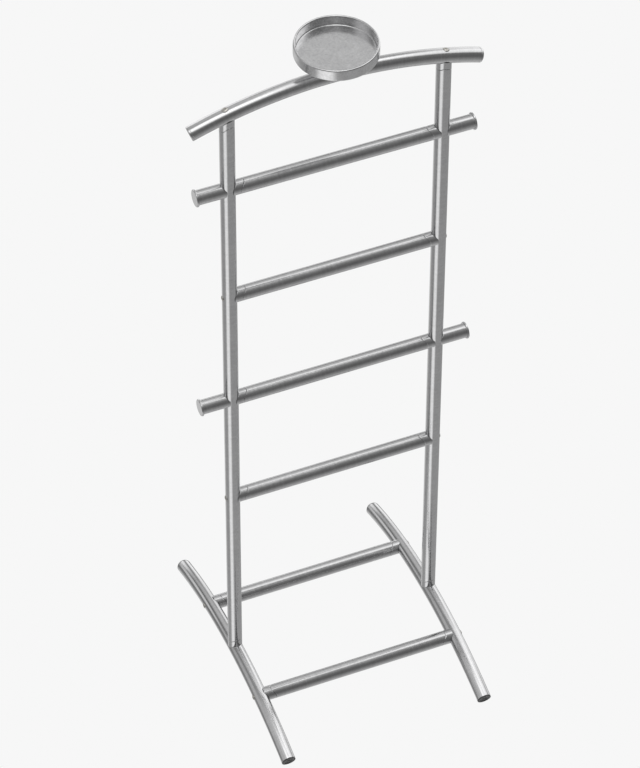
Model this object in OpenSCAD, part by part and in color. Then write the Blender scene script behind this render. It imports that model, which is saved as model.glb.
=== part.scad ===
// Valet stand: a free-standing rack of round stainless tube for a day's clothes.
// Two uprights stand on two arched feet. Four cross bars and a shallow arched top bar join
// the uprights, two base bars join the feet, and a round tray stands over the top bar.
// X runs across the stand, -Y is its front, Z is up. The origin is on the floor, at its centre.
// Every tube ends in a solid end piece with a saddle that fits round the tube it meets, and a
// screw or a stud through that tube pulls the end piece home.

/* [Stand] */
// Width between the centres of the top bar's two end faces
stand_w = 397; // [370:1:480]
// Depth between the centres of a foot's two end faces
stand_d = 397; // [330:1:480]
// Distance between the axes of the two uprights
upright_spacing = 296; // [240:1:330]
// Height of the top bar's axis at its crown
top_bar_z = 1056; // [1000:1:1280]
// Height of the first cross bar's axis
first_bar_z = 912; // [700:1:930]
// Drop from one cross bar to the next
bar_pitch = 188; // [60:1:210]
// Distance of each base bar in front of or behind the uprights
base_bar_y = 93; // [60:1:120]

/* [Tube] */
// Outside diameter of every tube
tube_d = 20; // [16:0.5:25]
// Wall of every tube
tube_wall = 1.5; // [1:0.1:2]
// Radius of the bend in the top bar and the feet, at the tube's axis
bend_r = 600; // [480:1:760]

/* [Saddle ends] */
// Length of an end piece that shows between its saddle and the end of its tube
collar_len = 11.5; // [8:0.5:18]
// How far the saddle's two thin tips stop short of the axis of the tube they clasp
tip_trim = 4.2; // [3:0.1:6]
// Length of the spigot inside the tube
spigot_len = 20; // [12:1:30]
// Depth of the tapped hole below the crown of the saddle
tap_len = 14; // [10:1:18]

/* [Pegs] */
// Reach of a peg beyond the upright's side, cap included
peg_reach = 35.5; // [24:0.5:60]
// How far the lip of a peg's cap stands out from the tube
peg_lip = 1.75; // [0.5:0.05:3]
// Thickness of a peg's cap
peg_cap_t = 2.6; // [2:0.1:4]

/* [Screws] */
// Diameter of the screws and studs
screw_d = 5; // [4:0.5:6]
// Diameter of a screw's head
head_d = 8; // [7.5:0.1:10]
// Height of a screw's head
head_h = 2.2; // [1.8:0.1:3]
// Width across the corners of the hexagon socket in a head
socket_d = 3.4; // [2:0.1:4]
// Length of thread that a screw or a stud takes up in an end piece
screw_bite = 10; // [6:1:12]

/* [Tray] */
// Outside diameter of the tray
tray_d = 109; // [90:1:140]
// Outside height of the tray
tray_h = 17.3; // [12:0.1:30]
// Thickness of the tray's wall, which is also the width of its rolled rim
tray_wall = 3.2; // [2:0.1:5]
// Thickness of the tray's floor
tray_floor = 2.9; // [2:0.1:4]
// Radius of the rounding under the tray's edge
tray_round = 2.5; // [1:0.1:4]
// Gap between the crown of the top bar and the underside of the tray
tray_lift = 24; // [16:0.5:40]
// Length of the tapped boss under the tray
boss_len = 12; // [8:0.5:14]

/* [Caps and plugs] */
// Thickness of the top bar's end caps
end_cap_t = 3; // [2:0.1:5]
// Thickness of the part of a foot plug that shows
plug_t = 1.6; // [1.4:0.1:5]
// Length of the spigot of a cap or plug
plug_spigot = 8; // [5:0.5:12]
// Rounding on the edge of the steel caps
edge_round = 1.2; // [0.5:0.1:1.5]
// Rounding on the edge of the foot plugs
plug_round = 0.8; // [0.3:0.1:1.2]
// Depth of the flat worn on a foot plug where it stands on the floor
floor_flat = 0.45; // [0.3:0.05:0.5]
// Depth of the dish in a foot plug's face
dish_depth = 0.8; // [0.4:0.1:1.2]

/* [Clearances] */
// Between a saddle and the tube it clasps
saddle_gap = 0.05; // [0.02:0.01:0.2]
// Round a spigot or a boss inside a tube
slip_gap = 0.15; // [0.05:0.01:0.3]
// Round a screw or a stud in a drilled tube, and round a head in its seat
drill_gap = 0.2; // [0.1:0.05:0.4]
// Round a screw or a stud in a tapped hole
tap_gap = 0.02; // [0.01:0.01:0.05]

/* [Hidden] */
$fn = 64;
// Steps in a full turn of a bend. It is so wide that coarse steps would cut into its tube.
BEND_FN = 360;
BARS = [1, 2, 3, 4];
PEG_BARS = [1, 3];
SCREW_BARS = [2, 4];
SIDES = ["left", "right"];
ENDS = ["front", "back"];

tube_r = tube_d / 2;
bore_r = tube_r - tube_wall;
spigot_r = bore_r - slip_gap;
saddle_r = tube_r + saddle_gap;
screw_r = screw_d / 2;
hole_r = screw_r + drill_gap;
tapped_r = screw_r + tap_gap;
seat_r = head_d / 2 + drill_gap;
// A head sits on a flat milled into the tube, just deep enough to be a full circle.
seat_h = sqrt(pow(tube_r, 2) - pow(seat_r, 2));
upright_x = upright_spacing / 2;
long = 4 * tube_d;

// The top bar and both feet are arcs of one radius. Angles are from the crown.
top_end_a = asin(stand_w / 2 / bend_r);
foot_end_a = asin(stand_d / 2 / bend_r);
top_tube_a = top_end_a - end_cap_t / bend_r * 180 / PI;
foot_tube_a = foot_end_a - plug_t / bend_r * 180 / PI;
upright_a = asin(upright_x / bend_r);
cutter_a = max(top_end_a, foot_end_a) + 5;
top_centre_z = top_bar_z - bend_r;
foot_centre_z = tube_r * cos(foot_end_a) - floor_flat - bend_r * cos(foot_end_a);
foot_crown_z = foot_centre_z + bend_r;
base_bar_z = foot_centre_z + sqrt(pow(bend_r, 2) - pow(base_bar_y, 2));
upright_top_z = top_centre_z + sqrt(pow(bend_r, 2) - pow(upright_x, 2));

peg_end_x = upright_x + tube_r + peg_reach;
tray_z = top_bar_z + tube_r + tray_lift;
rim_r = tray_wall / 2;
dish_r = 0.65 * tube_r;

function bar_z(i) = first_bar_z - (i - 1) * bar_pitch;

// ---- shared shapes ----

module rod_x(from_x, to_x, r) {
    translate([from_x, 0, 0]) rotate([0, 90, 0]) cylinder(r = r, h = to_x - from_x);
}

// The profile turned along an arc in the XZ plane, crown up, centred on the bend's axis
module bend(half_angle) {
    rotate([90, 0, 0])
        rotate_extrude(angle = 2 * half_angle, start = 90 - half_angle, $fn = BEND_FN)
            translate([bend_r, 0]) children();
}

module bent_tube(half_angle) {
    bend(half_angle) difference() {
        circle(r = tube_r);
        circle(r = bore_r);
    }
}

module both_sides() {
    children();
    mirror([1, 0, 0]) children();
}

module on_side(side) {
    if (side == "left") mirror([1, 0, 0]) children();
    else children();
}

module on_end(end) {
    if (end == "back") mirror([0, 1, 0]) children();
    else children();
}

module in_foot_plane() {
    translate([upright_x, 0, foot_centre_z]) rotate([0, 0, 90]) children();
}

// ---- saddles: what is cut off the end of a member where it meets another tube ----

// The clasped tube, and everything past its trimmed tips, which is the +X side
module saddle_outline() {
    circle(r = saddle_r);
    translate([-tip_trim, -long / 2]) square([long, long]);
}

// Each of these moves the cut back along its member by the given distance.
module upright_saddle(back) {
    translate([upright_x - back, 0, 0])
        linear_extrude(height = long, center = true) saddle_outline();
}

module peg_saddle() {
    translate([upright_x, 0, 0])
        linear_extrude(height = long, center = true) mirror([1, 0]) saddle_outline();
}

module top_bar_saddle(back) {
    translate([0, 0, top_centre_z - back]) bend(cutter_a) saddle_outline();
}

module tray_post_saddle() {
    translate([0, 0, top_centre_z]) bend(cutter_a) mirror([1, 0]) saddle_outline();
}

module foot_saddle(back) {
    translate([0, 0, back]) in_foot_plane()
        bend(cutter_a) mirror([1, 0]) saddle_outline();
}

module base_bar_saddle(back) {
    translate([-back, 0, 0]) in_foot_plane()
        bend(cutter_a) rotate([0, 0, 90]) saddle_outline();
}

// An end piece: a collar as thick as the tube, between the saddle and the same cut moved back,
// and a spigot that runs on into the tube.
// Children: the collar's rod, the cut moved back, the spigot, the saddle, the tapped hole.
module end_piece() {
    difference() {
        union() {
            intersection() {
                children(0);
                children(1);
            }
            children(2);
        }
        children(3);
        children(4);
    }
}

// ---- screws: local +Z leaves the clasped tube through the head ----

module screw(reach) {
    translate([0, 0, -reach]) cylinder(r = screw_r, h = reach + seat_h + head_h / 4);
    translate([0, 0, seat_h]) difference() {
        screw_head();
        translate([0, 0, head_h / 2]) cylinder(d = socket_d, h = head_h, $fn = 6);
    }
}

// A low domed head: the cap of a sphere over a short cylinder
module screw_head() {
    rim_h = head_h / 3;
    dome_h = head_h - rim_h;
    dome_r = (pow(head_d / 2, 2) + pow(dome_h, 2)) / (2 * dome_h);
    intersection() {
        cylinder(d = head_d, h = head_h);
        translate([0, 0, head_h - dome_r]) sphere(r = dome_r);
    }
}

module screw_hole() {
    translate([0, 0, -long / 2]) cylinder(r = hole_r, h = long);
    translate([0, 0, seat_h]) cylinder(r = seat_r, h = tube_r);
}

module stud_hole() {
    translate([0, 0, -long / 2]) cylinder(r = hole_r, h = long);
}

module tapped_hole() {
    translate([0, 0, -tube_r - tap_len]) cylinder(r = tapped_r, h = tube_r + tap_len);
}

module at_top_bar_screw() {
    translate([0, 0, top_centre_z]) rotate([0, upright_a, 0])
        translate([0, 0, bend_r]) children();
}

module at_tray_screw() {
    translate([0, 0, top_bar_z]) rotate([180, 0, 0]) children();
}

module at_foot_screw() {
    translate([upright_x, 0, foot_crown_z]) rotate([180, 0, 0]) children();
}

module at_bar(i) {
    translate([0, 0, bar_z(i)]) children();
}

module at_bar_screw(i) {
    at_bar(i) translate([upright_x, 0, 0]) rotate([0, 90, 0]) children();
}

module at_base_bar() {
    translate([0, -base_bar_y, base_bar_z]) children();
}

module at_base_bar_screw() {
    at_base_bar() translate([upright_x, 0, 0]) rotate([0, 90, 0]) children();
}

// ---- the frame's tubes, each drawn on the right-hand or front side ----

module upright(side) {
    color("silver") on_side(side) difference() {
        translate([upright_x, 0, foot_crown_z])
            cylinder(r = tube_r, h = upright_top_z - foot_crown_z);
        translate([upright_x, 0, foot_crown_z])
            cylinder(r = bore_r, h = upright_top_z - foot_crown_z);
        top_bar_saddle(collar_len);
        foot_saddle(collar_len);
        for (i = SCREW_BARS) at_bar_screw(i) screw_hole();
        for (i = PEG_BARS) at_bar_screw(i) stud_hole();
    }
}

module top_bar() {
    color("silver") difference() {
        translate([0, 0, top_centre_z]) bent_tube(top_tube_a);
        both_sides() at_top_bar_screw() screw_hole();
        at_tray_screw() screw_hole();
    }
}

module foot(side) {
    color("silver") on_side(side) difference() {
        in_foot_plane() bent_tube(foot_tube_a);
        at_foot_screw() screw_hole();
        for (e = ENDS) on_end(e) at_base_bar_screw() screw_hole();
    }
}

module straight_bar() {
    difference() {
        rod_x(-upright_x, upright_x, tube_r);
        rod_x(-upright_x, upright_x, bore_r);
        both_sides() children();
    }
}

module cross_bar(i) {
    color("silver") at_bar(i) straight_bar() upright_saddle(collar_len);
}

module base_bar(end) {
    color("silver") on_end(end) at_base_bar() straight_bar()
        translate([0, base_bar_y, -base_bar_z]) base_bar_saddle(collar_len);
}

// ---- end pieces ----

module upright_top_end(side) {
    color("gainsboro") on_side(side) end_piece() {
        translate([upright_x, 0, upright_top_z - long]) cylinder(r = tube_r, h = long);
        top_bar_saddle(collar_len);
        translate([upright_x, 0, upright_top_z - saddle_r - collar_len - spigot_len])
            cylinder(r = spigot_r, h = spigot_len + collar_len + saddle_r);
        top_bar_saddle(0);
        at_top_bar_screw() tapped_hole();
    }
}

module upright_bottom_end(side) {
    color("gainsboro") on_side(side) end_piece() {
        translate([upright_x, 0, foot_crown_z]) cylinder(r = tube_r, h = long);
        foot_saddle(collar_len);
        translate([upright_x, 0, foot_crown_z])
            cylinder(r = spigot_r, h = spigot_len + collar_len + saddle_r);
        foot_saddle(0);
        at_foot_screw() tapped_hole();
    }
}

module bar_spigot() {
    rod_x(upright_x - saddle_r - collar_len - spigot_len, upright_x, spigot_r);
}

module cross_bar_end(i, side) {
    color("gainsboro") on_side(side) at_bar(i) end_piece() {
        rod_x(upright_x - long, upright_x, tube_r);
        upright_saddle(collar_len);
        bar_spigot();
        upright_saddle(0);
        translate([upright_x, 0, 0]) rotate([0, 90, 0]) tapped_hole();
    }
}

module base_bar_end(end, side) {
    color("gainsboro") on_end(end) on_side(side) end_piece() {
        at_base_bar() rod_x(upright_x - long, upright_x, tube_r);
        base_bar_saddle(collar_len);
        at_base_bar() bar_spigot();
        base_bar_saddle(0);
        at_base_bar_screw() tapped_hole();
    }
}

// ---- pegs ----

module peg(i, side) {
    color("silver") on_side(side) at_bar(i) difference() {
        rod_x(upright_x, peg_end_x - peg_cap_t, tube_r);
        rod_x(upright_x, peg_end_x - peg_cap_t, bore_r);
        peg_saddle();
    }
}

module peg_cap(i, side) {
    color("gainsboro") on_side(side) at_bar(i)
        translate([peg_end_x - peg_cap_t, 0, 0]) rotate([0, 90, 0]) {
            rotate_extrude() cap_profile(tube_r + peg_lip, peg_cap_t, edge_round);
            translate([0, 0, -plug_spigot]) cylinder(r = spigot_r, h = plug_spigot);
        }
}

module peg_inserts() {
    color("darkgray") both_sides() for (i = PEG_BARS) at_bar(i) difference() {
        rod_x(upright_x, upright_x + tube_r + tap_len, spigot_r);
        rod_x(upright_x, upright_x + tube_r + tap_len, tapped_r);
        peg_saddle();
    }
}

module peg_studs() {
    reach = tube_r + screw_bite;
    color("darkgray") both_sides() for (i = PEG_BARS)
        at_bar(i) rod_x(upright_x - reach, upright_x + reach, screw_r);
}

// ---- caps and plugs ----

// Half the section of a disc with a rounded outer edge, from its axis outwards
module cap_profile(r, t, rounding) {
    square([r - rounding, t]);
    square([r, t - rounding]);
    translate([r - rounding, t - rounding]) circle(r = rounding);
}

// A cap for a tube's end, its spigot inside the tube and local +Z pointing out of it
module tube_cap(t, rounding) {
    rotate_extrude() cap_profile(tube_r, t, rounding);
    translate([0, 0, -plug_spigot]) cylinder(r = spigot_r, h = plug_spigot);
}

module at_bend_end(half_angle) {
    rotate([0, half_angle, 0]) translate([0, 0, bend_r]) rotate([0, 90, 0]) children();
}

module top_bar_cap(side) {
    color("gainsboro") on_side(side) translate([0, 0, top_centre_z])
        at_bend_end(top_tube_a) tube_cap(end_cap_t, edge_round);
}

module foot_plug(end, side) {
    color("dimgray") on_end(end) on_side(side) difference() {
        translate([upright_x, 0, foot_centre_z]) rotate([0, 0, -90])
            at_bend_end(foot_tube_a) difference() {
                tube_cap(plug_t, plug_round);
                translate([0, 0, plug_t - dish_depth]) cylinder(r = dish_r, h = plug_t);
            }
        translate([upright_x - tube_d, -stand_d, -tube_d]) cube([2 * tube_d, stand_d, tube_d]);
    }
}

// ---- tray ----

module tray_profile() {
    difference() {
        square([tray_d / 2, tray_h - rim_r]);
        translate([0, tray_floor]) square([tray_d / 2 - tray_wall, tray_h]);
        translate([tray_d / 2 - tray_round, 0]) square(tray_round);
    }
    translate([tray_d / 2 - rim_r, tray_h - rim_r]) circle(r = rim_r);
    intersection() {
        translate([tray_d / 2 - tray_round, tray_round]) circle(r = tray_round);
        translate([tray_d / 2 - tray_round, 0]) square(tray_round);
    }
}

module tray() {
    color("lightgray") difference() {
        union() {
            translate([0, 0, tray_z]) rotate_extrude() tray_profile();
            translate([0, 0, tray_z - boss_len]) cylinder(r = spigot_r, h = boss_len);
        }
        translate([0, 0, tray_z - boss_len]) cylinder(r = tapped_r, h = boss_len);
    }
}

module tray_post() {
    color("silver") difference() {
        translate([0, 0, top_bar_z]) cylinder(r = tube_r, h = tray_z - top_bar_z);
        translate([0, 0, top_bar_z]) cylinder(r = bore_r, h = tray_z - top_bar_z);
        tray_post_saddle();
    }
}

// ---- screws, each kind a set ----

module tray_screw() {
    color("khaki") at_tray_screw() screw(tray_z - top_bar_z - tap_gap);
}

module top_bar_screws() {
    color("khaki") both_sides() at_top_bar_screw() screw(tube_r + screw_bite);
}

module cross_bar_screws() {
    color("khaki") both_sides()
        for (i = SCREW_BARS) at_bar_screw(i) screw(tube_r + screw_bite);
}

module base_bar_screws() {
    color("khaki") both_sides()
        for (e = ENDS) on_end(e) at_base_bar_screw() screw(tube_r + screw_bite);
}

module foot_screws() {
    color("khaki") both_sides() at_foot_screw() screw(tube_r + screw_bite);
}

// ---- what is drawn ----

top_bar();
tray();
tray_post();
tray_screw();
peg_inserts();
peg_studs();
top_bar_screws();
cross_bar_screws();
base_bar_screws();
foot_screws();

for (i = BARS) {
    cross_bar(i);
}
for (e = ENDS) {
    base_bar(e);
}
for (s = SIDES) {
    upright(s);
    foot(s);
    upright_top_end(s);
    upright_bottom_end(s);
    top_bar_cap(s);
    for (i = BARS) {
        cross_bar_end(i, s);
    }
    for (i = PEG_BARS) {
        peg(i, s);
        peg_cap(i, s);
    }
    for (e = ENDS) {
        base_bar_end(e, s);
        foot_plug(e, s);
    }
}
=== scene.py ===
"""Looks of the valet stand: steel tubes, end pieces, caps, plugs, screws and tray.

Every new piece is a skin of rows of points. A row runs once round the piece's axis, and a list
of rows follows the piece's section. Lengths are in metres and come from the CAD nodes' boxes.
"""

import bpy
import numpy as np
from mathutils import Matrix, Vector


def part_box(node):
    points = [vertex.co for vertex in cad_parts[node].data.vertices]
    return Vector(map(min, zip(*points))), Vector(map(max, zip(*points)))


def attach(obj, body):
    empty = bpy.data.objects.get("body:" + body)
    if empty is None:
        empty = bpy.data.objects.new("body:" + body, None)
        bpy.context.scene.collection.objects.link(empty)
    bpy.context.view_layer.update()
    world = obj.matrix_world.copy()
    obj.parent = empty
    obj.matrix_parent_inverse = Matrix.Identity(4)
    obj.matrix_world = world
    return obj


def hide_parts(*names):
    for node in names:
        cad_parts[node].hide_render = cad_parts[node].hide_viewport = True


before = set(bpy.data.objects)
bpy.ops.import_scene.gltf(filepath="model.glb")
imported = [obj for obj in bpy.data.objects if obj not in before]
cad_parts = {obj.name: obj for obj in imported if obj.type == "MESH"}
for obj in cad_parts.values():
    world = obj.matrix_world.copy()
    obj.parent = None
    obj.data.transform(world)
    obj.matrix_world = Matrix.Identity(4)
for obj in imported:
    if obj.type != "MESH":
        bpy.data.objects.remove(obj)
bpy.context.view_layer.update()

MM = 0.001

# ---- driving sizes -------------------------------------------------------------------------

BEND_R = 600 * MM  # bend of the top bar and the feet, at the tube's axis
WALL = 1.5 * MM
COLLAR = 11.5 * MM  # length of an end piece that shows
TIP_TRIM = 4.2 * MM  # how far a saddle's tips stop short of the clasped tube's axis
SADDLE_GAP = 0.05 * MM
SLIP_GAP = 0.15 * MM
SPIGOT = 20 * MM
CUT_EDGE = 0.4 * MM  # rounding of a tube's cut edge
SEAM_GAP = 0.45 * MM  # between a tube's end and its end piece
SEAT_R = 4.2 * MM  # flat milled for a screw's head
HEAD_R = 4.0 * MM
HEAD_H = 2.2 * MM
SOCKET_R = 1.7 * MM
SCREW_R = 2.5 * MM
CAP_EDGE = 1.2 * MM
PLUG_EDGE = 0.8 * MM
PLUG_SPIGOT = 8 * MM
SCREW_BITE = 10 * MM  # how far a screw reaches past the tube it holds
DISH_R = 6.5 * MM  # dish in a foot plug's face
TRAY_WALL = 3.2 * MM
TRAY_BASE = 2.9 * MM
TRAY_ROUND = 2.5 * MM  # rounding under the tray's edge
TRAY_CORNER = 1.2 * MM  # fillet between the tray's wall and floor, inside
BEND_STEP = 4 * MM  # length of a bent tube from one row of points to the next
STRAIGHT_STEP = 20 * MM
COLUMNS = 128  # points round a tube
TRAY_COLUMNS = 256
SCREW_COLUMNS = 48

X, Y, Z = np.eye(3)


def node_box(node):
    """The node's lowest and highest corner as two arrays."""
    low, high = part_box(node)
    return np.array(low), np.array(high)


def middle(node):
    """The centre of the node's box."""
    low, high = node_box(node)
    return (low + high) / 2


def highest(node, axis):
    """The top of the node's box along an axis: 0, 1 or 2."""
    return node_box(node)[1][axis]


# ---- places, read from the frame -----------------------------------------------------------

TUBE_R = (highest("cross_bar_1", 2) - node_box("cross_bar_1")[0][2]) / 2
BORE_R = TUBE_R - WALL
SPIGOT_R = BORE_R - SLIP_GAP
SADDLE_R = TUBE_R + SADDLE_GAP
SEAT_H = np.sqrt(TUBE_R**2 - SEAT_R**2)
UPRIGHT_X = middle("right_upright")[0]
TOP_CENTRE_Z = highest("top_bar", 2) - TUBE_R - BEND_R
FOOT_CENTRE_Z = highest("right_foot", 2) - TUBE_R - BEND_R
TOP_END = BEND_R * np.arcsin(highest("top_bar", 0) / (BEND_R + TUBE_R))
FOOT_END = BEND_R * np.arcsin(highest("right_foot", 1) / (BEND_R + TUBE_R))
TOP_SCREW = BEND_R * np.arcsin(UPRIGHT_X / BEND_R)
BASE_BAR_Y = middle("back_base_bar")[1]
BASE_BAR_Z = middle("back_base_bar")[2]
FOOT_SCREW = BEND_R * np.arcsin(BASE_BAR_Y / BEND_R)
TRAY_TOP = highest("tray", 2)
TRAY_Z = highest("tray_post", 2)
TRAY_R = highest("tray", 0)
BOSS_Z = node_box("tray")[0][2]
PEG_TUBE_END = highest("peg_1_right", 0)
PEG_CAP_END = highest("peg_1_cap_right", 0)
PEG_CAP_R = (highest("peg_1_cap_right", 2) - node_box("peg_1_cap_right")[0][2]) / 2
BARS = {i: middle(f"cross_bar_{i}")[2] for i in (1, 2, 3, 4)}
SIDES = {"left": -1, "right": 1}
ENDS = {"front": -1, "back": 1}


# ---- materials -----------------------------------------------------------------------------


def new_material(name, metallic, roughness):
    """A material with its own Principled shader, and a maker of further nodes in it."""
    material = bpy.data.materials.new(name)
    material.use_nodes = True
    tree = material.node_tree
    shader = tree.nodes["Principled BSDF"]
    shader.inputs["Metallic"].default_value = metallic
    shader.inputs["Roughness"].default_value = roughness

    def add(kind, **inputs):
        """A node of this kind with these inputs, where _ stands for a space."""
        node = tree.nodes.new(kind)
        for key, value in inputs.items():
            node.inputs[key.replace("_", " ")].default_value = value
        return node

    return material, tree, shader, add


def noise_at(tree, add, vector, stretch, scale, detail):
    """Noise on a vector that is first stretched, as brushing or mottle is."""
    mapping = add("ShaderNodeMapping", Scale=stretch)
    noise = add("ShaderNodeTexNoise", Scale=scale, Detail=detail, Roughness=0.6)
    tree.links.new(vector, mapping.inputs["Vector"])
    tree.links.new(mapping.outputs["Vector"], noise.inputs["Vector"])
    return noise.outputs["Fac"]


def spread(tree, add, value, low, high, out_low, out_high):
    """Maps a noise value from one range to another, held at its ends."""
    node = add("ShaderNodeMapRange")
    settings = {"From Min": low, "From Max": high, "To Min": out_low, "To Max": out_high}
    for key, number in settings.items():
        node.inputs[key].default_value = number
    tree.links.new(value, node.inputs["Value"])
    return node.outputs["Result"]


def combine(tree, add, operation, a, b):
    """One value from two: their product, MULTIPLY, or their sum, ADD."""
    node = add("ShaderNodeMath")
    node.operation = operation
    tree.links.new(a, node.inputs[0])
    tree.links.new(b, node.inputs[1])
    return node.outputs["Value"]


def brushed_steel(name, colour, roughness, mottle, brushing, skinned=True):
    """Satin steel: rings of fine brushing, a soft mottle in tone and gloss, brighter worn edges.

    On a skinned piece the grain attribute holds (across, across, along) the piece's axis, so the
    brushing runs round it. The wear-and-shade attribute is 1 on worn cut edges and -1 on the
    saddle faces at the joints, where it darkens the colour as painted shade. Any other piece takes
    its grain from where it lies.
    """
    material, tree, shader, add = new_material(name, 1.0, roughness)
    if skinned:
        grain = add("ShaderNodeAttribute")
        grain.attribute_name = "grain"
        along = grain.outputs["Vector"]
    else:
        along = add("ShaderNodeTexCoord").outputs["Object"]
    rings = noise_at(tree, add, along, (40, 40, 360), 1.0, 3)
    hairs = noise_at(tree, add, along, (60, 60, 1900), 1.0, 2)
    blotch = noise_at(tree, add, along, (1, 1, 0.7), 330, 4)
    cloud = noise_at(tree, add, along, (1, 1, 0.35), 60, 2)

    tone = spread(tree, add, blotch, 0.35, 0.65, 1 - mottle, 1 + mottle)
    cloud_tone = spread(tree, add, cloud, 0.35, 0.65, 1 - mottle * 0.6, 1 + mottle * 0.6)
    ring_tone = spread(tree, add, rings, 0.3, 0.7, 1 - brushing * 0.6, 1 + brushing * 0.6)
    hair_tone = spread(tree, add, hairs, 0.3, 0.7, 1 - brushing * 0.3, 1 + brushing * 0.3)
    tones = [cloud_tone, ring_tone, hair_tone]
    if skinned:
        wear_and_painted_shade = add("ShaderNodeAttribute")
        wear_and_painted_shade.attribute_name = "wear_and_painted_shade"
        tones.append(spread(tree, add, wear_and_painted_shade.outputs["Fac"], 0, 1, 1.0, 1.05))
        # painted shade: where the attribute runs down to -1 the colour falls to 0.22 of itself
        tones.append(spread(tree, add, wear_and_painted_shade.outputs["Fac"], -1, 0, 0.22, 1.0))
    total = tone
    for factor in tones:
        total = combine(tree, add, "MULTIPLY", total, factor)
    paint = add("ShaderNodeVectorMath")
    paint.operation = "SCALE"
    paint.inputs[0].default_value = colour
    tree.links.new(total, paint.inputs["Scale"])
    tree.links.new(paint.outputs["Vector"], shader.inputs["Base Color"])

    gloss = spread(tree, add, cloud, 0.3, 0.7, roughness - 0.02, roughness + 0.04)
    ring_gloss = spread(tree, add, rings, 0.3, 0.7, -0.02, 0.02)
    tree.links.new(combine(tree, add, "ADD", gloss, ring_gloss), shader.inputs["Roughness"])

    bump = add("ShaderNodeBump", Strength=0.5 * brushing, Distance=0.00002)
    tree.links.new(hairs, bump.inputs["Height"])
    tree.links.new(bump.outputs["Normal"], shader.inputs["Normal"])
    return material


def black_plastic(name):
    """Matt moulded plastic: a fine pebble and a little dust-grey variation."""
    material, tree, shader, add = new_material(name, 0.0, 0.36)
    place = add("ShaderNodeTexCoord").outputs["Object"]
    pebble = noise_at(tree, add, place, (1, 1, 1), 1800, 3)
    dust = noise_at(tree, add, place, (1, 1, 1), 160, 3)
    ramp = add("ShaderNodeValToRGB")
    ramp.color_ramp.elements[0].color = (0.055, 0.055, 0.056, 1)
    ramp.color_ramp.elements[1].color = (0.125, 0.125, 0.127, 1)
    tree.links.new(dust, ramp.inputs["Fac"])
    tree.links.new(ramp.outputs["Color"], shader.inputs["Base Color"])
    tree.links.new(spread(tree, add, pebble, 0.3, 0.7, 0.28, 0.42), shader.inputs["Roughness"])
    bump = add("ShaderNodeBump", Strength=0.4, Distance=0.0002)
    tree.links.new(pebble, bump.inputs["Height"])
    tree.links.new(bump.outputs["Normal"], shader.inputs["Normal"])
    return material


FINISH = {
    "tube_steel": brushed_steel("satin_tube", (0.64, 0.64, 0.645), 0.17, 0.035, 0.08),
    "end_piece_steel": brushed_steel("satin_end_piece", (0.64, 0.64, 0.645), 0.17, 0.035, 0.08),
    "cap_steel": brushed_steel("satin_cap", (0.66, 0.66, 0.665), 0.16, 0.03, 0.05),
    "tray_steel": brushed_steel("satin_tray", (0.72, 0.72, 0.725), 0.21, 0.07, 0.03),
    "zinc_screws": brushed_steel("zinc", (0.60, 0.585, 0.55), 0.25, 0.05, 0.03),
    "foot_plastic": black_plastic("plug_plastic"),
}
INNER_ZINC = brushed_steel("inner_zinc", (0.60, 0.585, 0.55), 0.25, 0.05, 0.0, skinned=False)


# ---- making a mesh from rows ---------------------------------------------------------------


def strip(first, second, columns):
    """Quads between two rows, given the index of each row's first point."""
    j = np.arange(columns)
    k = (j + 1) % columns
    return np.stack([first + j, first + k, second + k, second + j], axis=1)


def fan(tip, first, columns, turned):
    """Triangles from one point to a row."""
    j = np.arange(columns)
    k = (j + 1) % columns
    order = (k, j) if turned else (j, k)
    return np.stack([np.full(columns, tip), first + order[0], first + order[1]], axis=1)


def volume_of(points, triangles):
    """Signed volume: a sixth of the sum of each triangle's triple product."""
    a, b, c = (points[triangles[:, n]] for n in range(3))
    return np.einsum("ij,ij->i", a, np.cross(b, c)).sum() / 6


def skin(name, node, slot, rows, grain, wear_and_painted_shade, tips=None):
    """A closed piece from rows of points, which stands for one CAD node.

    rows and grain are arrays of rows by columns by 3, and there is one wear-and-painted-shade
    value for each row. With tips, two points close the ends. Without, the last row joins the
    first, as on a pipe.
    """
    count, columns = rows.shape[:2]
    points = rows.reshape(-1, 3)
    grains = grain.reshape(-1, 3)
    wear_and_shade_values = np.repeat(np.asarray(wear_and_painted_shade, float), columns)
    pairs = count - 1 if tips is not None else count
    quads = np.concatenate(
        [strip(i * columns, (i + 1) % count * columns, columns) for i in range(pairs)]
    )
    triangles = np.empty((0, 3), int)
    if tips is not None:
        last = len(points)
        points = np.concatenate([points, tips])
        grains = np.concatenate([grains, grain[[0, -1]].mean(axis=1)])
        wear_and_shade_values = np.concatenate([wear_and_shade_values, [0, 0]])
        triangles = np.concatenate(
            [fan(last, 0, columns, True), fan(last + 1, (count - 1) * columns, columns, False)]
        )
    halves = np.concatenate([quads[:, [0, 1, 2]], quads[:, [0, 2, 3]], triangles])
    if volume_of(points, halves) < 0:
        quads, triangles = quads[:, ::-1], triangles[:, ::-1]
    mesh = bpy.data.meshes.new(name)
    mesh.from_pydata(points.tolist(), [], quads.tolist() + triangles.tolist())
    mesh.shade_smooth()
    for key, values, kind in (("grain", grains, "FLOAT_VECTOR"), ("wear_and_painted_shade", wear_and_shade_values, "FLOAT")):
        layer = mesh.attributes.new(key, kind, "POINT")
        field = "vector" if kind == "FLOAT_VECTOR" else "value"
        layer.data.foreach_set(field, values.astype(np.float32).ravel())
    mesh.materials.append(FINISH[slot])
    piece = bpy.data.objects.new(name, mesh)
    bpy.context.scene.collection.objects.link(piece)
    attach(piece, "root")
    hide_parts(node)
    return piece


# ---- where a piece lies --------------------------------------------------------------------


def straight(origin, along, across):
    """Place of (t, b, c): t along the axis, b along across, c along the third direction."""
    third = np.cross(along, across)

    def place(t, b, c):
        t, b, c = np.broadcast_arrays(t, b, c)
        return (
            origin + t[..., None] * along + b[..., None] * across + c[..., None] * third
        )

    return place


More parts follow.
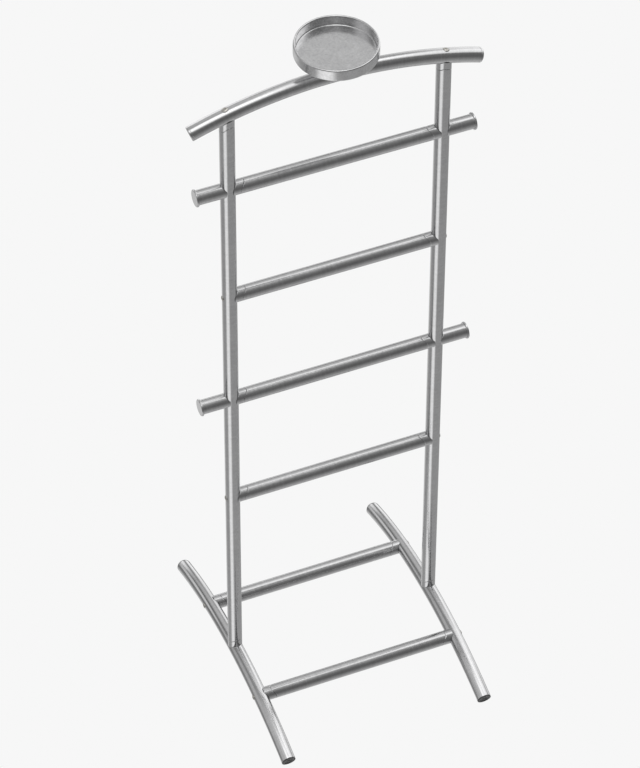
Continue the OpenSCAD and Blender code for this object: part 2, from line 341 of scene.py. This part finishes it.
def bent(centre, along):
    """Place of (t, b, c) on an arc of radius BEND_R: t is arc length from the crown, b is
    outward from the bend's centre and c sideways."""
    side = np.cross(along, Z)

    def place(t, b, c):
        t, b, c = np.broadcast_arrays(t, b, c)
        angle = t / BEND_R
        reach = (BEND_R + b)[..., None]
        outward = np.sin(angle)[..., None] * along + np.cos(angle)[..., None] * Z
        return centre + reach * outward + c[..., None] * side

    return place


def bend_end(centre, along, t):
    """A straight place at the end of a bent tube, its axis leaving the tube."""
    angle = t / BEND_R
    outward = np.sin(angle) * along + np.cos(angle) * Z
    tangent = np.cos(angle) * along - np.sin(angle) * Z
    return straight(centre + BEND_R * outward, tangent, outward)


# ---- saddles: how far along its axis a member reaches, at (b, c) across it ------------------


def clasp(offset):
    """Distance from a clasped tube's axis to its skin, at an offset from the plane through both
    axes: the tube's circle, cut off at the trimmed tips."""
    return np.maximum(np.sqrt(np.maximum(SADDLE_R**2 - offset**2, 0)), TIP_TRIM)


def to_upright(b, c):
    """Sideways to the right upright's near side, where b is the offset from its axis."""
    return UPRIGHT_X - clasp(b)


def from_upright(b, c):
    """Out from an upright's far side, for a peg, where b is the offset from its axis."""
    return UPRIGHT_X + clasp(b)


def to_top_bar(b, c):
    """Up to the top bar's underside, for the right upright, where b is along X and c along Y."""
    return TOP_CENTRE_Z + np.sqrt((BEND_R - clasp(c)) ** 2 - (UPRIGHT_X + b) ** 2)


def down_to_foot(b, c):
    """Down to the foot's upper side, for an upright, where b is along X and c along Y."""
    return FOOT_CENTRE_Z + np.sqrt((BEND_R + clasp(b)) ** 2 - c**2)


def down_to_top_bar(b, c):
    """Down to the top bar's upper side, for the tray's post."""
    return TOP_CENTRE_Z + np.sqrt((BEND_R + clasp(c)) ** 2 - b**2)


def to_foot(b, c):
    """Sideways to a foot, for the back base bar, where b is along Y and c along Z."""
    radius = np.hypot(BASE_BAR_Y + b, BASE_BAR_Z + c - FOOT_CENTRE_Z)
    return UPRIGHT_X - clasp(radius - BEND_R)


def flat(t):
    """A square-cut end at t."""
    return lambda b, c: np.full(np.shape(b), float(t))


# ---- tubes ---------------------------------------------------------------------------------


def ring(radius):
    """(b, c) of a circle of points."""
    angle = np.arange(COLUMNS) * 2 * np.pi / COLUMNS
    return radius * np.cos(angle), radius * np.sin(angle)


def mill_seat(t, b, c, at, angle):
    """Presses a screw's round flat into a tube's skin: inside the seat's circle the distance
    along the screw's axis is SEAT_H, with a steep edge."""
    height = b * np.cos(angle) + c * np.sin(angle)
    side = -b * np.sin(angle) + c * np.cos(angle)
    away = np.hypot(t - at, side)
    edge = np.clip((SEAT_R + 0.1 * MM - away) / (0.45 * MM), 0, 1)
    inside = edge**2 * (3 - 2 * edge) * (height > SEAT_H)
    height = height + (SEAT_H - height) * inside
    b = height * np.cos(angle) - side * np.sin(angle)
    c = height * np.sin(angle) + side * np.cos(angle)
    return b, c


def tube(name, node, place, near, far, back_near=0.0, back_far=0.0, step=STRAIGHT_STEP, seats=()):
    """A pipe between two ends. The section is a loop: the outer skin from the near to the far
    end, the rounded cut edge, the bore back again and the other edge. An end's rows follow its
    saddle, moved back by the given length, and the rows between lie square to the axis. seats
    lists (place along the axis, angle) of the flats for screw heads."""
    outer_b, outer_c = ring(TUBE_R)
    inner_b, inner_c = ring(BORE_R)
    start = near(outer_b, outer_c) + back_near
    stop = far(outer_b, outer_c) - back_far
    margin = 6 * CUT_EDGE
    low, high = start.max() + margin, stop.min() - margin
    spots = [np.linspace(low, high, max(int((high - low) / step) + 1, 2))]
    spots += [np.linspace(at - 5 * MM, at + 5 * MM, 33) for at, _ in seats]
    spots = np.unique(np.concatenate(spots).round(6))
    rows, wear_and_painted_shade = [], []

    def lay(t, b, c, worn=0.0):
        """One row of the outer skin, pressed in at the seats."""
        for at, angle in seats:
            b, c = mill_seat(t, b, c, at, angle)
        rows.append((np.broadcast_to(t, b.shape), b, c))
        wear_and_painted_shade.append(worn)

    def edge(limit, back, inward, b, c, worn):
        """One row of the cut edge: back from the cut and inward from the skin."""
        shrink = (TUBE_R - inward) / TUBE_R
        t = limit(b * shrink, c * shrink) + back
        lay(t, b * shrink, c * shrink, worn)

    e = CUT_EDGE
    near_end = [(4 * e, 0, 0), (1.6 * e, 0, 0.3), (e, 0, 1), (0.3 * e, 0.3 * e, 1), (0, e, 1)]
    for back, inward, worn in near_end[::-1]:
        edge(near, back_near + back, inward, outer_b, outer_c, worn)
    for t in spots:
        lay(t, outer_b, outer_c)
    for back, inward, worn in near_end:
        edge(far, -back_far - back, inward, outer_b, outer_c, worn)
    inner_stop = far(inner_b, inner_c) - back_far
    inner_start = near(inner_b, inner_c) + back_near
    for t in (inner_stop, inner_stop - 4 * e):
        rows.append((t, inner_b, inner_c))
        wear_and_painted_shade.append(0)
    for t in np.linspace(high, low, max(int((high - low) / STRAIGHT_STEP), 2)):
        rows.append((np.full(COLUMNS, t), inner_b, inner_c))
        wear_and_painted_shade.append(0)
    for t in (inner_start + 4 * e, inner_start):
        rows.append((t, inner_b, inner_c))
        wear_and_painted_shade.append(0)
    t, b, c = (np.array([row[n] for row in rows]) for n in range(3))
    return skin(name, node, "tube_steel", place(t, b, c), np.stack([b, c, t], -1), wear_and_painted_shade)


def end_piece(name, node, place, mouth, sign):
    """A saddle end piece. The section runs from the middle of the saddle out to the collar, along
    the collar, in at the seam, along the spigot and to the middle of its end. sign is 1 where
    the member's axis points at the clasped tube and -1 where it points away."""
    e = CUT_EDGE
    last = COLLAR - SEAM_GAP
    # The third number of each point is its wear-and-shade value: 1 brightens a worn edge, and -1
    # darkens the saddle face, its rounded edge and the spigot as painted shade.
    section = [(share * TUBE_R, 0, -1) for share in (0.2, 0.5, 0.8, 0.92)]
    section += [(TUBE_R - e, 0, -1), (TUBE_R - 0.3 * e, 0.3 * e, -1), (TUBE_R, e, -0.3)]
    section += [(TUBE_R, 2 * e, 0), (TUBE_R, 4 * e, 0), (TUBE_R, last / 2, 0)]
    section += [(TUBE_R, last - 4 * e, 0), (TUBE_R, last - 1.6 * e, 0.3), (TUBE_R, last - e, 1)]
    section += [(TUBE_R - 0.3 * e, last - 0.3 * e, 1), (TUBE_R - e, last, 1)]
    section += [(SPIGOT_R, last, -1), (SPIGOT_R, last + 4 * e, -1)]
    rows = []
    for radius, back, _ in section:
        b, c = ring(radius)
        rows.append((mouth(b, c) - sign * back, b, c))
    b, c = ring(SPIGOT_R)
    end = mouth(0 * b, 0 * c) - sign * (COLLAR + SPIGOT)
    rows += [(end + sign * e, b, c), (end, b * (1 - e / SPIGOT_R), c * (1 - e / SPIGOT_R))]
    # worn here also carries the -1 of painted shade at the saddle.
    wear_and_painted_shade = [worn for *_, worn in section] + [0, 0]
    t, b, c = (np.array([row[n] for row in rows]) for n in range(3))
    zero = np.zeros(1)
    tips = np.concatenate([place(mouth(zero, zero), zero, zero), place(end[:1], zero, zero)])
    grain = np.stack([b, c, t], -1)
    return skin(name, node, "end_piece_steel", place(t, b, c), grain, wear_and_painted_shade, tips)


# ---- turned pieces -------------------------------------------------------------------------


def arc(radius, along, size, start, stop, count=7):
    """Points (radius, along) on a circle of the given size, from one angle to another, in
    degrees: 0 points away from the axis and 90 along it."""
    angle = np.radians(np.linspace(start, stop, count))
    return [(radius + size * np.cos(a), along + size * np.sin(a)) for a in angle]


def turned(name, node, slot, place, section, columns=COLUMNS, shape=None, worn=()):
    """A piece turned about its axis. The section lists (radius, along) from one middle point to
    the other. shape may change the radii with the angle, and worn lists the rows of a worn edge."""
    angle = np.arange(columns) * 2 * np.pi / columns
    radius, along = (np.array([p[n] for p in section], float) for n in range(2))
    radius = np.repeat(radius[:, None], columns, axis=1)
    if shape is not None:
        radius = shape(radius, angle)
    t = np.repeat(along[:, None], columns, axis=1)
    b, c = radius * np.cos(angle), radius * np.sin(angle)
    points = place(t[1:-1], b[1:-1], c[1:-1])
    zero = np.zeros(1)
    tips = np.concatenate([place(along[:1], zero, zero), place(along[-1:], zero, zero)])
    wear_and_painted_shade = np.zeros(len(section) - 2)
    wear_and_painted_shade[[n - 1 for n in worn]] = 1
    grain = np.stack([b, c, t], -1)[1:-1]
    return skin(name, node, slot, points, grain, wear_and_painted_shade, tips)


def cap_section(radius, thickness, e=CAP_EDGE, dish=()):
    """Section of a cap: its spigot in the tube, its flange and its edge, rounded by e. dish lists
    the points of the face from its edge to its middle."""
    section = [(0, -PLUG_SPIGOT), (SPIGOT_R - 0.4 * MM, -PLUG_SPIGOT)]
    section += [(SPIGOT_R, -PLUG_SPIGOT + 0.4 * MM), (SPIGOT_R, -0.1 * MM), (SPIGOT_R, 0.0)]
    section += [(radius - 0.25 * MM, 0.0), (radius, 0.25 * MM), (radius, 0.5 * MM)]
    section += arc(radius - e, thickness - e, e, 0, 90, 9)
    section += list(dish) or [(radius * 0.8, thickness), (radius * 0.4, thickness)]
    return section + [(0, section[-1][1])]


def screw(name, node, places, reach):
    """Screws of one kind as one piece: a shank, a low domed head and a hexagon socket. The
    socket's rows are drawn in to a hexagon: its flats' distance over the cosine of the angle
    from the nearest flat's middle."""
    dome = HEAD_H * 2 / 3
    dome_r = (HEAD_R**2 + dome**2) / (2 * dome)
    lip = HEAD_H - dome
    top = SEAT_H + HEAD_H - dome_r
    angles = np.linspace(np.arcsin(HEAD_R / dome_r), np.arcsin(SOCKET_R * 1.25 / dome_r), 9)
    section = [(0, -reach), (SCREW_R - 0.4 * MM, -reach), (SCREW_R, 0.4 * MM - reach)]
    section += [(SCREW_R, SEAT_H), (HEAD_R - 0.3 * MM, SEAT_H), (HEAD_R, SEAT_H + 0.25 * MM)]
    section += [(HEAD_R, SEAT_H + lip * 0.8)]
    section += [(dome_r * np.sin(a), top + dome_r * np.cos(a)) for a in angles]
    rim = len(section)
    face = section[-1][1]
    socket = [(SOCKET_R * 1.04, face), (SOCKET_R, face - 0.1 * MM), (SOCKET_R, face - 0.3 * MM)]
    section += socket + [(SOCKET_R, face - HEAD_H / 2), (SOCKET_R * 0.5, face - HEAD_H / 2)]
    section += [(0, face - HEAD_H / 2)]

    def hexagon(radius, angle):
        """The radii with the socket's rows drawn in to a hexagon."""
        turn = np.mod(angle, np.pi / 3) - np.pi / 6
        radius[rim:-1] *= np.cos(np.pi / 6) / np.cos(turn)
        return radius

    for count, place in enumerate(places):
        title = name if len(places) == 1 else f"{name}_{count + 1}"
        turned(title, node, "zinc_screws", place, section, SCREW_COLUMNS, hexagon)


# ---- the frame -----------------------------------------------------------------------------

TOP_CENTRE = TOP_CENTRE_Z * Z


def foot_centre(side):
    """Centre of a foot's bend."""
    return side * UPRIGHT_X * X + FOOT_CENTRE_Z * Z


def build_uprights():
    """Each upright: a tube with two seats outside, and an end piece at the top and the bottom."""
    for word, side in SIDES.items():
        place = straight(side * UPRIGHT_X * X, Z, side * X)
        seats = [(BARS[i], 0.0) for i in (2, 4)]
        tube(f"upright_{word}", f"{word}_upright", place, down_to_foot, to_top_bar,
             COLLAR, COLLAR, seats=seats)
        end_piece(f"upright_{word}_upper_end", f"upright_top_end_{word}", place, to_top_bar, 1)
        end_piece(f"upright_{word}_lower_end", f"upright_bottom_end_{word}", place,
                  down_to_foot, -1)


def build_bars():
    """Cross bars and base bars: each a tube with an end piece at both ends."""
    rails = {f"cross_bar_{i}": (z * Z, to_upright) for i, z in BARS.items()}
    for word, end in ENDS.items():
        rails[f"{word}_base_bar"] = (end * BASE_BAR_Y * Y + BASE_BAR_Z * Z, to_foot)
    for node, (origin, mouth) in rails.items():
        in_front = node.startswith("front")
        place = straight(origin, X, -Y if in_front else Y)
        lift = -1 if in_front else 1  # the third direction points down where across is -Y

        def right_mouth(b, c, mouth=mouth, lift=lift):
            return mouth(b, lift * c)

        def left_mouth(b, c, mouth=mouth, lift=lift):
            return -mouth(b, lift * c)

        tube(node.replace("cross", "clothes") + "_tube", node, place, left_mouth, right_mouth,
             COLLAR, COLLAR)
        end_piece(f"{node}_right_end", f"{node}_end_right", place, right_mouth, 1)
        end_piece(f"{node}_left_end", f"{node}_end_left", place, left_mouth, -1)


def build_top_bar():
    """The arched bar with its three seats, and a cap on each end."""
    place = bent(TOP_CENTRE, X)
    seats = [(-TOP_SCREW, 0.0), (TOP_SCREW, 0.0), (0.0, np.pi)]
    tube("arched_top_bar", "top_bar", place, flat(-TOP_END), flat(TOP_END),
         step=BEND_STEP, seats=seats)
    cap = end_thickness("top_bar_cap_right", bend_end(TOP_CENTRE, X, TOP_END))
    for word, side in SIDES.items():
        turned(f"top_bar_end_{word}", f"top_bar_cap_{word}", "cap_steel",
               bend_end(TOP_CENTRE, side * X, TOP_END), cap_section(TUBE_R, cap))


def end_thickness(node, place):
    """How far a cap's node stands out along the axis of its place."""
    origin, one = place(0.0, 0.0, 0.0), place(1.0, 0.0, 0.0)
    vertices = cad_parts[node].data.vertices
    points = np.empty(3 * len(vertices))
    vertices.foreach_get("co", points)
    return ((points.reshape(-1, 3) - origin) @ (one - origin)).max()


def build_feet():
    """Each foot: an arched tube with three seats, and a dished plug in each end."""
    thickness = end_thickness("foot_plug_back_right", bend_end(foot_centre(1), Y, FOOT_END))
    face, floor = thickness, thickness - 0.8 * MM
    dish = [(DISH_R + 0.5 * MM, face), (DISH_R, face - 0.2 * MM)]
    dish += [(DISH_R - 0.3 * MM, face - 0.7 * MM), (DISH_R - 0.6 * MM, floor), (2.2 * MM, floor)]
    dish += [(1.9 * MM, face - 0.4 * MM), (1.2 * MM, face - 0.35 * MM)]  # the moulding's pip
    for word, side in SIDES.items():
        seats = [(-FOOT_SCREW, side * np.pi / 2), (FOOT_SCREW, side * np.pi / 2), (0.0, np.pi)]
        tube(f"arched_foot_{word}", f"{word}_foot", bent(foot_centre(side), Y),
             flat(-FOOT_END), flat(FOOT_END), step=BEND_STEP, seats=seats)
        for end_word, end in ENDS.items():
            flat_place = bend_end(foot_centre(side), end * Y, FOOT_END)

            def on_floor(t, b, c, flat_place=flat_place):
                """The plug's points, with those below the floor worn flat."""
                points = flat_place(t, b, c)
                points[..., 2] = np.maximum(points[..., 2], 0)
                return points

            turned(f"plug_{end_word}_{word}", f"foot_plug_{end_word}_{word}", "foot_plastic",
                   on_floor, cap_section(TUBE_R, thickness, PLUG_EDGE, dish))


def build_pegs():
    """Each peg: a short tube with a saddle, and a cap with a lip."""
    for i in (1, 3):
        for word, side in SIDES.items():
            place = straight(BARS[i] * Z, side * X, Y)
            tube(f"peg_{i}_{word}_tube", f"peg_{i}_{word}", place, from_upright,
                 flat(PEG_TUBE_END))
            end = straight(BARS[i] * Z + side * PEG_TUBE_END * X, side * X, Y)
            turned(f"peg_{i}_{word}_cap", f"peg_{i}_cap_{word}", "cap_steel", end,
                   cap_section(PEG_CAP_R, PEG_CAP_END - PEG_TUBE_END))


def build_tray():
    """The tray, turned from a section with a rolled rim, and the post under it."""
    wall, base, rounding, corner = TRAY_WALL, TRAY_BASE, TRAY_ROUND, TRAY_CORNER
    inside = TRAY_R - wall
    height = TRAY_TOP - TRAY_Z
    section = [(0, base), (inside * 0.25, base), (inside * 0.5, base), (inside * 0.75, base)]
    section += [(inside - corner - 1.5 * MM, base)]
    section += arc(inside - corner, base + corner, corner, -90, 0)
    section += [(inside, base + corner + 1 * MM), (inside, height - wall / 2 - 1 * MM)]
    section += arc(TRAY_R - wall / 2, height - wall / 2, wall / 2, 180, 0, 17)
    section += [(TRAY_R, height - wall / 2 - 1 * MM), (TRAY_R, rounding + 1 * MM)]
    section += arc(TRAY_R - rounding, rounding, rounding, 0, -90, 9)
    section += [(TRAY_R - rounding - 1 * MM, 0), (TUBE_R * 1.5, 0), (SPIGOT_R, 0)]
    boss = BOSS_Z - TRAY_Z
    section += [(SPIGOT_R, boss + 0.5 * MM), (SPIGOT_R - 0.5 * MM, boss), (0, boss)]
    turned("tray_dish", "tray", "tray_steel", straight(TRAY_Z * Z, Z, X), section, TRAY_COLUMNS)
    tube("tray_stem", "tray_post", straight(0 * Z, Z, X), down_to_top_bar, flat(TRAY_Z))


def build_screws():
    """The screws of each kind, each with its head on the seat milled for it."""
    bite = TUBE_R + SCREW_BITE
    sideways = [straight(side * UPRIGHT_X * X + BARS[i] * Z, side * X, Y)
                for i in (2, 4) for side in SIDES.values()]
    screw("cross_bar_screw", "cross_bar_screws", sideways, bite)
    base = [straight(side * UPRIGHT_X * X + end * BASE_BAR_Y * Y + BASE_BAR_Z * Z, side * X, Y)
            for end in ENDS.values() for side in SIDES.values()]
    screw("base_bar_screw", "base_bar_screws", base, bite)
    under = [straight(side * UPRIGHT_X * X + (FOOT_CENTRE_Z + BEND_R) * Z, -Z, X)
             for side in SIDES.values()]
    screw("foot_screw", "foot_screws", under, bite)
    angle = TOP_SCREW / BEND_R
    top = []
    for side in SIDES.values():
        outward = side * np.sin(angle) * X + np.cos(angle) * Z
        top.append(straight(TOP_CENTRE + BEND_R * outward, outward, Y))
    screw("top_bar_screw", "top_bar_screws", top, bite)
    crown = (TOP_CENTRE_Z + BEND_R) * Z
    screw("tray_fixing_screw", "tray_screw", [straight(crown, -Z, X)],
          TRAY_Z - TOP_CENTRE_Z - BEND_R)


def dress_inner_nodes():
    """The studs and inserts stay as the CAD has them, in zinc."""
    for node in ("peg_studs", "peg_inserts"):
        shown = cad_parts[node]
        shown.data.materials.clear()
        shown.data.materials.append(INNER_ZINC)


# ---- camera, light and floor ---------------------------------------------------------------


def direction(azimuth, elevation):
    """Unit vector: azimuth 0 is the front, -Y, and grows towards +X. Degrees."""
    a, e = np.radians([azimuth, elevation])
    return np.array([np.sin(a) * np.cos(e), -np.cos(a) * np.cos(e), np.sin(e)])


# The camera looks at AIM from a direction, in degrees, and a distance, in metres
AIM = np.array([-14.2, 14.2, 499.1]) * MM
CAMERA_AZIMUTH, CAMERA_ELEVATION, CAMERA_ROLL = -22.87, 45.03, 0.25
CAMERA_DISTANCE = 5.871
LENS, SENSOR, FAR_CLIP = 204.96, 36, 100


def place_camera():
    """A long lens from the front left, 45 degrees up."""
    data = bpy.data.cameras.new("camera")
    data.lens = LENS
    data.sensor_width = SENSOR
    data.clip_end = FAR_CLIP
    camera = bpy.data.objects.new("camera", data)
    bpy.context.scene.collection.objects.link(camera)
    back = direction(CAMERA_AZIMUTH, CAMERA_ELEVATION)
    right = np.cross(-back, Z)
    right /= np.linalg.norm(right)
    up = np.cross(back, right)
    roll = np.radians(CAMERA_ROLL)
    level = right * np.cos(roll) + up * np.sin(roll)
    upright = -right * np.sin(roll) + up * np.cos(roll)
    matrix = np.eye(4)
    matrix[:3, 0], matrix[:3, 1], matrix[:3, 2] = level, upright, back
    matrix[:3, 3] = AIM + CAMERA_DISTANCE * back
    camera.matrix_world = Matrix(matrix)
    bpy.context.scene.camera = camera


PAPER = 0.93  # the pale floor and backdrop, as the camera sees them

# Brightness of the studio by height, from straight down (-90) to straight up (90 degrees)
STUDIO = {
    -90: 0.62, -60: 0.48, -42: 0.36, -20: 0.25, 0: 0.15, 20: 0.15, 45: 0.22, 65: 0.30, 90: 0.66
}

# Soft light panels: azimuth, elevation, full-strength and outer half-angle, strength
PANELS = {
    "overhead": (-20, 84, 3, 22, 0.36),
    "left_high": (-42, 72, 10, 24, 0.64),
    "front_high": (-12, 62, 4, 22, 0.70),
    "left_edge": (-92, 60, 6, 26, 0.42),
    "right_top": (122, 70, 6, 22, 0.58),
    "right_high": (98, 48, 5, 30, 1.00),
    "right_back": (128, 2, 8, 36, 0.87),
    "right_middle": (122, 28, 4, 20, 0.62),
    "right_arc": (147, 14, 2, 16, 0.20),
    "back_right": (154, -8, 3, 16, 0.56),
    "back": (-178, 0, 4, 24, 1.42),
    "back_left": (-145, 6, 3, 16, 0.70),
    "left_wall": (-104, 16, 6, 42, 0.44),
    "left_low": (-50, -44, 4, 24, 0.74),
    "back_high": (174, 44, 4, 34, 0.42),
    "back_floor": (-167, -42, 4, 24, 0.30),
}


def light_studio():
    """A soft studio all round, which the steel reflects. The camera sees plain paper."""
    world = bpy.data.worlds.new("studio")
    world.use_nodes = True
    bpy.context.scene.world = world
    tree = world.node_tree
    tree.nodes.clear()
    look = tree.nodes.new("ShaderNodeTexCoord").outputs["Generated"]
    height = tree.nodes.new("ShaderNodeSeparateXYZ")
    tree.links.new(look, height.inputs[0])
    share = tree.nodes.new("ShaderNodeMapRange")
    share.inputs["From Min"].default_value = -1
    tree.links.new(height.outputs["Z"], share.inputs["Value"])
    ramp = tree.nodes.new("ShaderNodeValToRGB")
    stops = ramp.color_ramp.elements
    while len(stops) < len(STUDIO):
        stops.new(0.5)
    for stop, (elevation, value) in zip(stops, sorted(STUDIO.items())):
        stop.position = (np.sin(np.radians(elevation)) + 1) / 2
        stop.color = (value, value, value, 1)
    tree.links.new(share.outputs["Result"], ramp.inputs["Fac"])
    total = ramp.outputs["Color"]
    for azimuth, elevation, full, outer, strength in PANELS.values():
        dot = tree.nodes.new("ShaderNodeVectorMath")
        dot.operation = "DOT_PRODUCT"
        dot.inputs[1].default_value = direction(azimuth, elevation)
        tree.links.new(look, dot.inputs[0])
        panel = tree.nodes.new("ShaderNodeMapRange")
        panel.interpolation_type = "SMOOTHSTEP"
        panel.inputs["From Min"].default_value = np.cos(np.radians(outer))
        panel.inputs["From Max"].default_value = np.cos(np.radians(full))
        panel.inputs["To Max"].default_value = strength
        tree.links.new(dot.outputs["Value"], panel.inputs["Value"])
        add = tree.nodes.new("ShaderNodeMath")
        add.operation = "ADD"
        tree.links.new(total, add.inputs[0])
        tree.links.new(panel.outputs["Result"], add.inputs[1])
        total = add.outputs["Value"]
    seen = tree.nodes.new("ShaderNodeLightPath").outputs["Is Camera Ray"]
    studio = tree.nodes.new("ShaderNodeBackground")
    paper = tree.nodes.new("ShaderNodeBackground")
    paper.inputs["Color"].default_value = (PAPER, PAPER, PAPER, 1)
    tree.links.new(total, studio.inputs["Color"])
    mix = tree.nodes.new("ShaderNodeMixShader")
    tree.links.new(seen, mix.inputs["Fac"])
    tree.links.new(studio.outputs[0], mix.inputs[1])
    tree.links.new(paper.outputs[0], mix.inputs[2])
    out = tree.nodes.new("ShaderNodeOutputWorld")
    tree.links.new(mix.outputs[0], out.inputs["Surface"])


FLOOR_R = 20  # metres
FLOOR_CORNERS = 64


def lay_floor():
    """A wide disc of pale paper, seen by the camera only, so the steel reflects the studio."""
    angle = np.arange(FLOOR_CORNERS) * 2 * np.pi / FLOOR_CORNERS
    points = np.stack([FLOOR_R * np.cos(angle), FLOOR_R * np.sin(angle), 0 * angle], 1)
    mesh = bpy.data.meshes.new("floor")
    mesh.from_pydata(points.tolist(), [], [list(range(FLOOR_CORNERS))])
    material = bpy.data.materials.new("pale_paper")
    material.use_nodes = True
    tree = material.node_tree
    tree.nodes.clear()
    glow = tree.nodes.new("ShaderNodeEmission")
    glow.inputs["Color"].default_value = (PAPER, PAPER, PAPER, 1)
    out = tree.nodes.new("ShaderNodeOutputMaterial")
    tree.links.new(glow.outputs[0], out.inputs["Surface"])
    mesh.materials.append(material)
    floor = bpy.data.objects.new("floor", mesh)
    bpy.context.scene.collection.objects.link(floor)
    for ray in ("diffuse", "glossy", "transmission", "shadow", "volume_scatter"):
        setattr(floor, f"visible_{ray}", False)


place_camera()
light_studio()
lay_floor()
build_uprights()
build_bars()
build_top_bar()
build_feet()
build_pegs()
build_tray()
build_screws()
dress_inner_nodes()

bpy.context.scene.view_settings.view_transform = "Standard"
bpy.context.view_layer.update()
